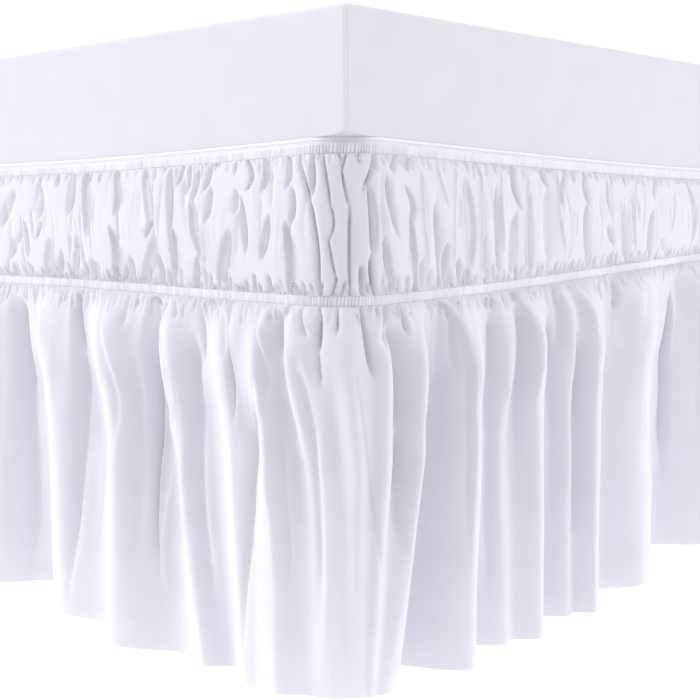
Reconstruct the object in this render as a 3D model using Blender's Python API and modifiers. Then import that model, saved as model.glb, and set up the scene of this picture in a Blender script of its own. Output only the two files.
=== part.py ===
"""Ruffled wrap-round bed skirt, gripping a plain mattress on a low platform.

The skirt is one ring of cloth pieces round the mattress: a corded top edge, a
pleated elastic casing, a gathered band, a second casing and a deep ruffle that
drops almost to the floor. All lengths are metres and +Z is up. The foot of the
bed faces -Y, its long right side faces +X, and the legs stand on z = 0.

Places round the bed are distances along its rounded outline, counted from the
middle of the near corner (+X, -Y): positive along the right side, negative
along the foot.
"""
import math
import random
from typing import NamedTuple

import bmesh
import bpy
import numpy as np

# Bed
BED_WIDTH = 0.990
BED_LENGTH = 1.905
MATTRESS_BOTTOM = 0.3635
MATTRESS_TOP = 0.6685
PLATFORM_THICKNESS = 0.070
PLATFORM_INSET = 0.035
PLATFORM_BEVEL = 0.006
LEG_WIDTH = 0.050
LEG_INSET = 0.070
SEAT_GAP = 0.0003

# The elastic draws the mattress corner in to this radius
GRIP_RADIUS = 0.050
CORNER_STEPS = 6
STRAIGHT_STEP = 0.120

# Above its grip the mattress corner squares up again towards the top edge
TOP_CORNER = 0.011
CORNER_FADE = 0.032
CORNER_LEVELS = 6
MATTRESS_EDGE = 0.007
LOWER_EDGE = 0.010
LOWER_EDGE_HEIGHT = 0.012

# Heights at the corners, and how far they change by the middle of each side
CASING_BOTTOM = 0.3880
CASING_HEIGHT = 0.0095
UPPER_CASING_BOTTOM = 0.5325
UPPER_CASING_HEIGHT = 0.0085
PIPING_RADIUS = 0.0024
CORNER_EASE = 0.050

# Cloth
CASING_DEPTH = 0.0050
CLOTH_THICKNESS = 0.0018
BAND_EDGE_OUT = 0.0034
BAND_BULGE = 0.0110
BAND_SWELL = 0.0036
BAND_SWELLS = 80
BAND_ROWS = (0.0, 0.20, 0.80, 1.0)
BAND_TILT_ROOM = 0.0004
RUFFLE_EDGE_OUT = 0.0036
RUFFLE_PUFF = 0.0050
PUFF_DEPTH = 0.30
RUFFLE_ROWS = (0.0, 0.014, 0.09, 0.24, 0.45, 1.0)
SEWN_DEPTH = 0.014
MIDDLE = 0.40
CREST_REACH = 0.080
TUCK_START = 0.070
HEM_CLEARANCE = 0.0070
HEM_LIFT = 0.80
COLUMN_WIDTH = 0.0165

# Folds of the ruffle where no row gives them
FOLD_PITCH = 0.112
CREST_OUT = 0.052
VALLEY_OUT = 0.006
FOLD_SEED = 7


class Side(NamedTuple):
    """How the casings wander along one side, at its middle."""
    name: str
    upper_droop: float
    lower_rise: float


class FoldLine(NamedTuple):
    """One crest or valley line of the ruffle, followed from casing to hem.

    top, middle and hem are places round the bed; middle_out and hem_out are how
    far outside the bed's outline the cloth lies there.
    """
    top: float
    middle: float
    hem: float
    middle_out: float
    hem_out: float


SIDES = (
    Side(name="right", upper_droop=0.0210, lower_rise=0.0195),
    Side(name="head", upper_droop=0.0080, lower_rise=0.0050),
    Side(name="left", upper_droop=0.0190, lower_rise=0.0170),
    Side(name="foot", upper_droop=0.0090, lower_rise=0.0045),
)

CORNER_LINES = (
    FoldLine(top=-0.605, middle=-0.585, hem=-0.590, middle_out=0.042, hem_out=0.044),
    FoldLine(top=-0.505, middle=-0.495, hem=-0.513, middle_out=-0.002, hem_out=-0.018),
    FoldLine(top=-0.444, middle=-0.410, hem=-0.401, middle_out=0.045, hem_out=0.052),
    FoldLine(top=-0.385, middle=-0.358, hem=-0.340, middle_out=0.014, hem_out=0.033),
    FoldLine(top=-0.320, middle=-0.286, hem=-0.268, middle_out=0.055, hem_out=0.080),
    FoldLine(top=-0.257, middle=-0.240, hem=-0.196, middle_out=0.010, hem_out=0.036),
    FoldLine(top=-0.230, middle=-0.202, hem=-0.158, middle_out=0.038, hem_out=0.047),
    FoldLine(top=-0.185, middle=-0.164, hem=-0.133, middle_out=0.012, hem_out=0.025),
    FoldLine(top=-0.124, middle=-0.090, hem=-0.080, middle_out=0.045, hem_out=0.050),
    FoldLine(top=-0.062, middle=-0.041, hem=-0.026, middle_out=0.012, hem_out=0.027),
    FoldLine(top=-0.006, middle=-0.004, hem=-0.006, middle_out=0.031, hem_out=0.024),
    FoldLine(top=0.036, middle=0.038, hem=0.011, middle_out=0.014, hem_out=0.023),
    FoldLine(top=0.060, middle=0.056, hem=0.022, middle_out=0.036, hem_out=0.025),
    FoldLine(top=0.104, middle=0.088, hem=0.072, middle_out=-0.004, hem_out=-0.024),
    FoldLine(top=0.134, middle=0.122, hem=0.118, middle_out=0.050, hem_out=0.050),
    FoldLine(top=0.189, middle=0.176, hem=0.170, middle_out=0.010, hem_out=0.007),
    FoldLine(top=0.248, middle=0.236, hem=0.232, middle_out=0.054, hem_out=0.058),
    FoldLine(top=0.310, middle=0.292, hem=0.288, middle_out=0.012, hem_out=0.010),
    FoldLine(top=0.362, middle=0.346, hem=0.333, middle_out=0.056, hem_out=0.066),
    FoldLine(top=0.430, middle=0.408, hem=0.404, middle_out=0.016, hem_out=0.018),
    FoldLine(top=0.478, middle=0.458, hem=0.452, middle_out=0.056, hem_out=0.062),
    FoldLine(top=0.601, middle=0.600, hem=0.606, middle_out=-0.004, hem_out=-0.018),
    FoldLine(top=0.660, middle=0.652, hem=0.662, middle_out=0.046, hem_out=0.050),
    FoldLine(top=0.722, middle=0.728, hem=0.730, middle_out=0.004, hem_out=0.000),
)

WHITE_COTTON = (0.86, 0.86, 0.90, 1.0)
MATTRESS_WHITE = (0.88, 0.88, 0.92, 1.0)
PALE_WOOD = (0.62, 0.50, 0.36, 1.0)


def outline_knots(radius=GRIP_RADIUS):
    """Distances round the rounded outline where a straight run or an arc ends."""
    arc = math.pi * radius / 2
    run_y = BED_LENGTH - 2 * radius
    run_x = BED_WIDTH - 2 * radius
    runs = (arc / 2, run_y, arc, run_x, arc, run_y, arc, run_x, arc / 2)
    return np.concatenate(([0.0], np.cumsum(runs)))


KNOTS = outline_knots()
ROUND = KNOTS[-1]


def around_bed(distance, out):
    """x and y of points out metres outside the outline, distance along it.

    The corner's centre moves along the straight runs and the outward normal
    turns on the arcs, so a point is centre + (radius + out) * normal.
    """
    half_x = BED_WIDTH / 2 - GRIP_RADIUS
    half_y = BED_LENGTH / 2 - GRIP_RADIUS
    centre_x = half_x * np.array((1, 1, 1, 1, -1, -1, -1, -1, 1, 1))
    centre_y = half_y * np.array((-1, -1, 1, 1, 1, 1, -1, -1, -1, -1))
    turn = np.radians((-45, 0, 0, 90, 90, 180, 180, 270, 270, 315))
    along = np.mod(distance, ROUND)
    angle = np.interp(along, KNOTS, turn)
    x = np.interp(along, KNOTS, centre_x) + (GRIP_RADIUS + out) * np.cos(angle)
    y = np.interp(along, KNOTS, centre_y) + (GRIP_RADIUS + out) * np.sin(angle)
    return x, y


def along_side(distance):
    """Eased sine, 0 at the corners and 1 at mid-side, and the side's index."""
    corners = np.array((0.0, (KNOTS[2] + KNOTS[3]) / 2, (KNOTS[4] + KNOTS[5]) / 2,
                        (KNOTS[6] + KNOTS[7]) / 2, ROUND))
    along = np.mod(distance, ROUND)
    side = np.clip(np.searchsorted(corners, along, side="right") - 1, 0, 3)
    share = (along - corners[side]) / (corners[side + 1] - corners[side])
    wave = np.sin(math.pi * share)
    eased = np.sqrt(wave ** 2 + CORNER_EASE ** 2) - CORNER_EASE
    return eased / (math.sqrt(1 + CORNER_EASE ** 2) - CORNER_EASE), side


def lower_rise(distance):
    """Rise of the lower casing above its corner height."""
    wave, side = along_side(distance)
    return np.array([s.lower_rise for s in SIDES])[side] * wave ** 2


def upper_droop(distance):
    """Droop of the upper casing below its corner height."""
    wave, side = along_side(distance)
    return np.array([s.upper_droop for s in SIDES])[side] * wave


def ring_stations():
    """Distances of a casing's columns: even steps on each arc and each run."""
    stations = [0.0]
    for start, end in zip(KNOTS[:-1], KNOTS[1:]):
        on_arc = end - start < math.pi * GRIP_RADIUS
        if on_arc:
            whole_arc = math.pi * GRIP_RADIUS / 2
            steps = round(CORNER_STEPS * (end - start) / whole_arc)
        else:
            steps = math.ceil((end - start) / STRAIGHT_STEP)
        stations.extend(np.linspace(start, end, steps + 1)[1:])
    return np.array(stations[:-1])


def all_lines():
    """The listed lines, then crests and valleys with seeded wander for the rest."""
    lines = list(CORNER_LINES)
    start = lines[-1].hem
    rest = ROUND + lines[0].hem - start
    count = round(rest / FOLD_PITCH)
    wander = random.Random(FOLD_SEED)
    widths = [1 + wander.uniform(-0.30, 0.30) for _ in range(2 * count)]
    places = start + np.cumsum(widths) * rest / sum(widths)
    for index, hem in enumerate(places[:-1]):
        is_crest = index % 2 == 0
        level = CREST_OUT if is_crest else VALLEY_OUT
        lines.append(FoldLine(
            top=hem + wander.uniform(-0.016, 0.016),
            middle=hem + wander.uniform(-0.009, 0.009),
            hem=hem,
            middle_out=level + wander.uniform(-0.012, 0.008),
            hem_out=level + wander.uniform(-0.013, 0.013)))
    first = lines[0]
    lines.append(first._replace(top=first.top + ROUND, middle=first.middle + ROUND,
                                hem=first.hem + ROUND))
    return lines


def fold_columns():
    """The fold lines with eased columns between them, one array per column name.

    Between two lines the places run evenly and the offsets as half a cosine.
    """
    lines = all_lines()
    columns = []
    for line, following in zip(lines, lines[1:]):
        steps = max(2, round((following.hem - line.hem) / COLUMN_WIDTH))
        for step in range(steps):
            share = step / steps
            ease = (1 - math.cos(math.pi * share)) / 2
            gap = np.subtract(following, line)
            columns.append(np.array(line) + gap * (share, share, share, ease, ease))
    return FoldLine(*np.array(columns).T)


def new_object(name, mesh, collection, material):
    mesh.materials.append(material)
    placed = bpy.data.objects.new(name, mesh)
    collection.objects.link(placed)
    return placed


def grid_mesh(name, x, y, z, close_rows):
    """Mesh of a grid whose columns run round the bed and close on themselves.

    x, y and z are arrays of rows by columns. With close_rows the last row joins
    the first, which makes a closed ring with a solid section.
    """
    rows, columns = z.shape
    bm = bmesh.new()
    points = np.stack([np.broadcast_to(a, z.shape) for a in (x, y, z)], axis=-1)
    verts = [[bm.verts.new(p) for p in row] for row in points.tolist()]
    for row in range(rows if close_rows else rows - 1):
        above = (row + 1) % rows
        for column in range(columns):
            beside = (column + 1) % columns
            bm.faces.new((verts[row][column], verts[row][beside],
                          verts[above][beside], verts[above][column]))
    bmesh.ops.triangulate(bm, faces=bm.faces[:])
    bmesh.ops.recalc_face_normals(bm, faces=bm.faces[:])
    mesh = bpy.data.meshes.new(name)
    bm.to_mesh(mesh)
    bm.free()
    mesh.shade_smooth()
    return mesh


def cloth_ring(name, distance, out, height, collection, material):
    """A sheet of cloth round the bed: an open grid given its thickness."""
    x, y = around_bed(distance, out)
    mesh = grid_mesh(name, x, y, height, close_rows=False)
    sheet = new_object(name, mesh, collection, material)
    wall = sheet.modifiers.new("Cloth thickness", "SOLIDIFY")
    wall.thickness = CLOTH_THICKNESS
    wall.offset = 0.0
    return sheet


def corded_ring(name, section_out, section_up, base, collection, material):
    """A closed section, given as offsets out and up, carried round the bed."""
    distance = ring_stations()
    x, y = around_bed(distance, np.array(section_out)[:, None])
    z = base(distance) + np.array(section_up)[:, None]
    mesh = grid_mesh(name, x, y, z, close_rows=True)
    return new_object(name, mesh, collection, material)


def build_piping(collection, material):
    """Round cord that sits on the upper casing's top edge."""
    angles = np.radians(np.arange(0, 360, 60))
    section_out = SEAT_GAP + PIPING_RADIUS * (1 + np.cos(angles))
    section_up = (UPPER_CASING_HEIGHT + SEAT_GAP
                  + PIPING_RADIUS * (math.cos(math.radians(30)) + np.sin(angles)))

    def base(distance):
        return UPPER_CASING_BOTTOM - upper_droop(distance)

    corded_ring("top_piping", section_out, section_up, base, collection, material)


def casing_section(height):
    """Flat back and ends, and a front that is rounded at both its edges."""
    section_out = SEAT_GAP + CASING_DEPTH * np.array((0.0, 0.62, 1.0, 1.0, 0.62, 0.0))
    section_up = height * np.array((0.0, 0.0, 0.22, 0.78, 1.0, 1.0))
    return section_out, section_up


def build_casings(collection, material):
    """The two elastic casings that grip the mattress."""
    def upper(distance):
        return UPPER_CASING_BOTTOM - upper_droop(distance)

    def lower(distance):
        return CASING_BOTTOM + lower_rise(distance)

    corded_ring("upper_casing", *casing_section(UPPER_CASING_HEIGHT), upper,
                collection, material)
    corded_ring("lower_casing", *casing_section(CASING_HEIGHT), lower,
                collection, material)


def build_band(collection, material):
    """Gathered band: it bulges between its casings, in broad even swells."""
    columns = 3 * BAND_SWELLS
    distance = np.arange(columns) * ROUND / columns
    rows = np.array(BAND_ROWS)[:, None]
    gap = SEAT_GAP + BAND_TILT_ROOM
    bottom = CASING_BOTTOM + lower_rise(distance) + CASING_HEIGHT + gap
    top = UPPER_CASING_BOTTOM - upper_droop(distance) - gap
    height = bottom + (top - bottom) * rows
    belly = np.sqrt(np.sin(math.pi * rows))
    swell = np.cos(2 * math.pi * BAND_SWELLS * distance / ROUND)
    out = BAND_EDGE_OUT + (BAND_BULGE + BAND_SWELL * swell) * belly
    cloth_ring("gathered_band", distance, out, height, collection, material)


def between_levels(rows, middle_value, hem_value):
    """Straight from the middle level to the hem; rows above it keep the middle's."""
    below = np.clip((rows - MIDDLE) / (1 - MIDDLE), 0, 1)
    return middle_value + (hem_value - middle_value) * below


def build_ruffle(collection, material):
    """Deep ruffle: it springs out under the casing and hangs in its folds.

    Rows are shares of the drop. The sewn edge hangs straight for a few
    millimetres. Crests reach their distance soon below it; lines that lie
    behind the casing's face tuck in only lower down, past the mattress edge.
    """
    fold = fold_columns()
    rows = np.array(RUFFLE_ROWS)[:, None]
    above = np.clip(rows / MIDDLE, 0, 1)
    place = fold.top + (between_levels(rows, fold.middle, fold.hem) - fold.top) * above

    top = CASING_BOTTOM + lower_rise(fold.top) - SEAT_GAP
    drop = CASING_BOTTOM - HEM_CLEARANCE
    lift = HEM_LIFT * (fold.hem_out - RUFFLE_EDGE_OUT) ** 2 / (2 * drop)
    height = top - (drop - lift) * rows

    reach = 1 - np.exp(-np.maximum(0, rows - SEWN_DEPTH) / CREST_REACH)
    tuck = np.clip((rows - TUCK_START) / (MIDDLE - TUCK_START), 0, 1)
    offset = between_levels(rows, fold.middle_out, fold.hem_out) - RUFFLE_EDGE_OUT
    puffed = np.clip((rows - SEWN_DEPTH) / PUFF_DEPTH, 0, 1)
    puff = RUFFLE_PUFF * np.sin(math.pi * puffed)
    out = (RUFFLE_EDGE_OUT + puff + np.maximum(offset, 0) * reach
           + np.minimum(offset, 0) * tuck ** 2 * (3 - 2 * tuck))
    cloth_ring("ruffle", place, out, height, collection, material)


class Section(NamedTuple):
    """One level of the mattress: its height, how far it is drawn in, its corner."""
    height: float
    inset: float
    corner: float


def mattress_sections():
    """Eased bottom edge, gripped stretch, corners that square up, eased top edge."""
    grip_top = UPPER_CASING_BOTTOM + UPPER_CASING_HEIGHT + 3 * PIPING_RADIUS
    edge_start = MATTRESS_TOP - MATTRESS_EDGE
    sections = []
    for rise, inset in ((0.0, 1.0), (0.35, 0.3), (1.0, 0.0)):
        sections.append(Section(height=MATTRESS_BOTTOM + rise * LOWER_EDGE_HEIGHT,
                                inset=inset * LOWER_EDGE,
                                corner=GRIP_RADIUS - inset * LOWER_EDGE))
    for height in np.linspace(grip_top, edge_start, CORNER_LEVELS):
        share = math.exp(-(height - grip_top) / CORNER_FADE)
        corner = TOP_CORNER + (GRIP_RADIUS - TOP_CORNER) * share
        sections.append(Section(height=height, inset=0.0, corner=corner))
    sections.append(Section(height=MATTRESS_TOP - 0.3 * MATTRESS_EDGE,
                            inset=0.3 * MATTRESS_EDGE, corner=TOP_CORNER))
    sections.append(Section(height=MATTRESS_TOP, inset=MATTRESS_EDGE, corner=TOP_CORNER))
    return sections


def build_mattress(collection, material):
    """Mattress: rounded rectangles stacked from the bottom up and capped."""
    quarter = np.radians(np.linspace(0, 90, CORNER_STEPS + 1))
    turn = np.concatenate([quarter + math.pi / 2 * k for k in range(4)])
    sign_x = np.repeat((1, -1, -1, 1), CORNER_STEPS + 1)
    sign_y = np.repeat((1, 1, -1, -1), CORNER_STEPS + 1)
    bm = bmesh.new()
    rings = []
    for level in mattress_sections():
        x = sign_x * (BED_WIDTH / 2 - level.inset - level.corner) + level.corner * np.cos(turn)
        y = sign_y * (BED_LENGTH / 2 - level.inset - level.corner) + level.corner * np.sin(turn)
        rings.append([bm.verts.new((px, py, level.height)) for px, py in zip(x, y)])
    for below, above in zip(rings, rings[1:]):
        for index in range(len(below)):
            beside = (index + 1) % len(below)
            bm.faces.new((below[index], below[beside], above[beside], above[index]))
    bm.faces.new(reversed(rings[0]))
    bm.faces.new(rings[-1])
    mesh = bpy.data.meshes.new("mattress")
    bm.to_mesh(mesh)
    bm.free()
    mesh.shade_smooth()
    mesh.set_sharp_from_angle(angle=math.radians(40))
    new_object("mattress", mesh, collection, material)


def block(name, size, centre, collection, material):
    """A plain box of the given size, centred on centre."""
    bm = bmesh.new()
    bmesh.ops.create_cube(bm, size=1.0)
    bmesh.ops.scale(bm, vec=size, verts=bm.verts[:])
    mesh = bpy.data.meshes.new(name)
    bm.to_mesh(mesh)
    bm.free()
    placed = new_object(name, mesh, collection, material)
    placed.location = centre
    return placed


def build_base(collection, material):
    """Platform deck under the mattress, and the six legs that carry it."""
    width = BED_WIDTH - 2 * PLATFORM_INSET
    length = BED_LENGTH - 2 * PLATFORM_INSET
    deck_top = MATTRESS_BOTTOM - SEAT_GAP
    deck_bottom = deck_top - PLATFORM_THICKNESS
    deck = block("platform", (width, length, PLATFORM_THICKNESS),
                 (0, 0, (deck_top + deck_bottom) / 2), collection, material)
    edge = deck.modifiers.new("Eased edges", "BEVEL")
    edge.width = PLATFORM_BEVEL
    edge.segments = 1

    leg_height = deck_bottom - SEAT_GAP
    leg_x = BED_WIDTH / 2 - LEG_INSET - LEG_WIDTH / 2
    leg_y = BED_LENGTH / 2 - LEG_INSET - LEG_WIDTH / 2
    places = [(x, y) for y in (-leg_y, 0, leg_y) for x in (leg_x, -leg_x)]
    for number, (x, y) in enumerate(places, start=1):
        block(f"leg_{number}", (LEG_WIDTH, LEG_WIDTH, leg_height),
              (x, y, leg_height / 2), collection, material)


def make_material(name, colour, roughness):
    material = bpy.data.materials.new(name)
    material.use_nodes = True
    shader = material.node_tree.nodes["Principled BSDF"]
    shader.inputs["Base Color"].default_value = colour
    shader.inputs["Roughness"].default_value = roughness
    shader.inputs["Metallic"].default_value = 0.0
    return material


def main():
    for old in list(bpy.data.objects):
        bpy.data.objects.remove(old, do_unlink=True)
    collection = bpy.data.collections.new("bed_skirt")
    bpy.context.scene.collection.children.link(collection)

    build_mattress(collection, make_material("mattress_cover", MATTRESS_WHITE, 0.85))
    build_base(collection, make_material("pale_wood", PALE_WOOD, 0.60))
    build_piping(collection, make_material("skirt_piping", WHITE_COTTON, 0.80))
    build_casings(collection, make_material("skirt_casing", WHITE_COTTON, 0.85))
    build_band(collection, make_material("skirt_band", WHITE_COTTON, 0.88))
    build_ruffle(collection, make_material("skirt_ruffle", WHITE_COTTON, 0.90))


main()
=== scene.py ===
"""Finishes a wrap-round bed skirt on its mattress and platform.

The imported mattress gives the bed's size, and the heights of the seams are those of
the cloth's solids. Each cloth piece is a thin sheet on its solid's folds. The folds and
the main creases are listed in tables, and the small gathers are strewn between them
from a seed.

Places round the bed are distances along its rounded outline, counted from the middle
of the near corner (+X, -Y): positive along the right side, negative along the foot.
Lengths are metres, and millimetres in the tables of folds and creases.
"""
import math
import random
from typing import NamedTuple

import bmesh
import bpy
import numpy as np
from mathutils import Matrix, Vector


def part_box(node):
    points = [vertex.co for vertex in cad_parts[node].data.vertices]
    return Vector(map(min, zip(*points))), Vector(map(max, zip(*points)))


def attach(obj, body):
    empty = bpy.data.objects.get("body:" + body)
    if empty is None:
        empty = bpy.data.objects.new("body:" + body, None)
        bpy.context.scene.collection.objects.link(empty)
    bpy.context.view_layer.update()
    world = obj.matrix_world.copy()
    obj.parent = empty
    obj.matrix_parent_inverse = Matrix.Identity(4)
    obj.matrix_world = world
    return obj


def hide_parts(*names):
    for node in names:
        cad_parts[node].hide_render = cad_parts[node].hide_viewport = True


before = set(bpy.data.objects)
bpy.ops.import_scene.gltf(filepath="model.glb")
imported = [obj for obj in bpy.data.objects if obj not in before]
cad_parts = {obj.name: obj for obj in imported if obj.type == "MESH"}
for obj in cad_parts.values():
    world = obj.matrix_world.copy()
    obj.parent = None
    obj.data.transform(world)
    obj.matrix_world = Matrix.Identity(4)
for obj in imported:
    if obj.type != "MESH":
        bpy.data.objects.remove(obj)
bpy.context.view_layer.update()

bl_info = {
    "name": "Gathered Bed Skirt",
    "version": (1, 0, 0),
    "blender": (4, 5, 0),
    "location": "View3D > Sidebar > Bed Skirt",
    "description": "Gathered cloth, mattress cover, bed base and a pale stage",
    "category": "Object",
}

# Sizes that the mattress gives
MATTRESS_LOW, MATTRESS_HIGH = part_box("mattress")
BED_WIDTH = MATTRESS_HIGH.x - MATTRESS_LOW.x
BED_LENGTH = MATTRESS_HIGH.y - MATTRESS_LOW.y
MATTRESS_BOTTOM = MATTRESS_LOW.z
MATTRESS_TOP = MATTRESS_HIGH.z

# Radius of the mattress corners where the skirt grips them, and of the squarer ones
# above it, the height in which one gives way to the other, and the distance in which
# the cloth takes up a corner's turn
GRIP_RADIUS = 0.050
TOP_CORNER = 0.0045
CORNER_FADE = 0.0015
CORNER_BLEND = 0.008

# The cover's rounded edges, and the ridge of its seam on a corner
MATTRESS_EDGE = 0.007
LOWER_EDGE = 0.010
LOWER_EDGE_HEIGHT = 0.012
SEAM_RIDGE = 0.0006
SEAM_RIDGE_WIDTH = 0.0007

# Casings: their places and heights at the corners
CASING_BOTTOM = 0.3880
CASING_HEIGHT = 0.0095
UPPER_CASING_BOTTOM = 0.5325
UPPER_CASING_HEIGHT = 0.0085

# Their cut cloth and its pleats, of which the slack share of the depth is left away
# from the corners, where the elastic is drawn tightest
CASING_FULLNESS = 1.3
CASING_CUT = 0.0125
PLEAT_DEPTH = 0.0023
PLEAT_LEAN = 0.0010
TIGHT_REACH = 0.14
SLACK_SHARE = 0.42

# The cord: its radius, its top above the upper casing, and the cloth between two of
# its rows
PIPING_RADIUS = 0.0011
PIPING_TOP = 0.0066
PIPING_GIRTH_STEP = 0.0014

# The least gap between a casing or the cord and the mattress
SEAT_GAP = 0.0003

# Droop of the upper casing and rise of the lower one in the middle of the right, head,
# left and foot sides, and how softly they set in at a corner
UPPER_DROOP = np.array((0.0210, 0.0080, 0.0190, 0.0090))
LOWER_RISE = np.array((0.0195, 0.0050, 0.0170, 0.0045))
CORNER_EASE = 0.050

# The band between the casings: its mean height, its belly, of which the given share
# rises within a short reach of a seam, and the cloth carried on behind a casing
BAND_HEIGHT = 0.119
BAND_BELLY = 0.0145
BAND_PUFF_SHARE = 0.26
BAND_PUFF_REACH = 0.0028
SEAM_OUT = 0.0030
SEAM_TURN = 0.0012

# Reach in which the cloth lets go of a seam, and the band's least way out
SEAM_HOLD = 0.0009
BAND_WALL = 0.0009

# The ruffle's head: its way out at the seam, a long puff that ends at PUFF_DEPTH of
# the drop, and a short one that rises and fades in the given depths
RUFFLE_EDGE_OUT = 0.0042
RUFFLE_PUFF = 0.0050
PUFF_DEPTH = 0.30
HEAD_PUFF = 0.0045
HEAD_RISE = 0.0024
HEAD_FADE = 0.060

# Its folds, in its drop: the middle level, the reach in which crests swing out and
# the start of the valleys
MIDDLE = 0.40
CREST_REACH = 0.080
TUCK_START = 0.070

# Its hem: the gap to the floor, and the share of a stiff cloth's lift that it gets
# where a crest swings out
HEM_CLEARANCE = 0.0070
HEM_LIFT = 0.80

# The ruffle's wall: the least way out at its seam, how far it falls away below, and
# the depths where that starts and in which it is done
WALL_OUT = 0.0007
WALL_FALL = 0.034
WALL_START = 0.004
WALL_REACH = 0.030

# Folds of the far sides: the width of a crest and its valley, how much it varies, and
# how far crests and valleys stand out
FOLD_PITCH = 0.112
FOLD_SPREAD = 0.30
CREST_OUT = 0.052
VALLEY_OUT = 0.006
FOLD_SEED = 7

# Shape of a crease across its line: the height of the lip beside a one-sided one and
# the depth of its core, in its depth, and the reach of its tails, in its half widths.
# A half width is never tapered below the least one.
LIP = 0.20
CORE = 1.00
TAIL = 5.0
LEAST_WIDTH = 0.0010

# How far columns close up in a crease that is at least so deep and at most so narrow
CLOSING = 1.6
DEEP = 0.006
NARROW = 0.0030

# How far a one-sided crease drops over a rounded edge: 0 not at all, 1 wholly
BAND_DROP = 0.9
RUFFLE_DROP = 0.15

# Depths and half widths of the creases, as shares of the tables'
RUFFLE_STRENGTH = 1.32
BAND_STRENGTH = 1.7
BAND_WIDTH = 0.66

# Least half widths of the listed creases, and a depth that no crease comes near
RUFFLE_LEAST = 0.0015
BAND_LEAST = 0.0010
OPEN_HEM = 9.0

# Stretch of the ring that is woven finest, either side of the near corner, and the one
# whose creases are all strewn
FINE_START = -0.720
FINE_END = 0.800
FAR_START = 0.735
FAR_END = -0.600
PANEL_JOINTS = (FINE_END, 2.85)

# How far gathers slide along, in their way out, to look upright from the near corner
LEFT_SLIDE = 0.90
RIGHT_SLIDE = -1.1

# Distance between two threads' crowns, and the size of the stage's floor
WEAVE_PITCH = 0.0009
FLOOR_RADIUS = 30.0

# Directions on the floor to the near corner, and more to the front of the foot, and
# the share of the even light that is held back from there
FRONT = (0.67, -0.742, 0)
FRONT_OF_FOOT = (0.50, -0.866, 0)
HELD_BACK = 0.50

# The camera's place, its turns in degrees and its lens in millimetres
CAMERA_PLACE = (1.2541, -1.7921, 0.4824)
CAMERA_AZIMUTH = 42.078
CAMERA_PITCH = 6.761
CAMERA_ROLL = -0.616
CAMERA_LENS = 62.25


class FoldLine(NamedTuple):
    """One crest or valley of the ruffle.

    top, middle and hem are its places at the seam, the middle level and the hem, and
    middle_out and hem_out its distances out of the gripped outline there.
    """
    top: float
    middle: float
    hem: float
    middle_out: float
    hem_out: float


class Crease(NamedTuple):
    """A soft trough in a sheet, or a ridge where depth is negative.

    It starts and ends the given distances below the upper seam, and passes the
    places top, middle and low there and half way. depth is that of its deepest
    stretch, and left and right are its half widths on either side of its line.
    """
    start: float
    end: float
    top: float
    middle: float
    low: float
    depth: float
    left: float
    right: float


class Strewn(NamedTuple):
    """A kind of crease that is strewn along a seam, about a pitch apart.

    tops, lengths, depths and widths are ranges, and lean is how far a crease wanders
    sideways, in its length. Those that hang start from the lower seam.
    """
    pitch: float
    tops: tuple
    lengths: tuple
    depths: tuple
    widths: tuple
    lean: float = 0.10
    hangs: bool = False


FOLD_LINES = (
    # top, middle, hem, middle_out, hem_out
    (-605, -585, -590, 42, 44),
    (-505, -495, -513, -2, -18),
    (-444, -410, -401, 45, 52),
    (-385, -358, -340, 14, 33),
    (-320, -286, -268, 55, 80),
    (-257, -240, -196, 10, 36),
    (-230, -202, -158, 38, 47),
    (-185, -164, -133, 12, 25),
    (-124, -105, -90, 45, 50),
    (-103, -88, -74, 36, 47),
    (-84, -64, -50, 44, 47),
    (-62, -41, -26, 12, 27),
    (-42, -22, -14, 34, 27),
    (-24, -6, -4, 24, 23.5),
    (-4, 4, 3, 31, 24.5),
    (12, 14, 8, 24, 23.5),
    (24, 22, 12, 32, 25),
    (36, 38, 16, 14, 23),
    (60, 56, 24, 36, 25),
    (104, 88, 72, -4, -24),
    (134, 122, 118, 50, 50),
    (189, 176, 170, 10, 7),
    (222, 200, 200, 30, 36),
    (236, 214, 212, 26, 34),
    (248, 236, 232, 54, 58),
    (310, 292, 288, 12, 10),
    (334, 318, 314, 36, 44),
    (348, 330, 323, 30, 42),
    (362, 346, 333, 56, 66),
    (430, 408, 404, 16, 18),
    (478, 458, 452, 56, 62),
    (601, 600, 606, -4, -18),
    (660, 652, 662, 46, 50),
    (722, 728, 730, 4, 0),
)

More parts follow.
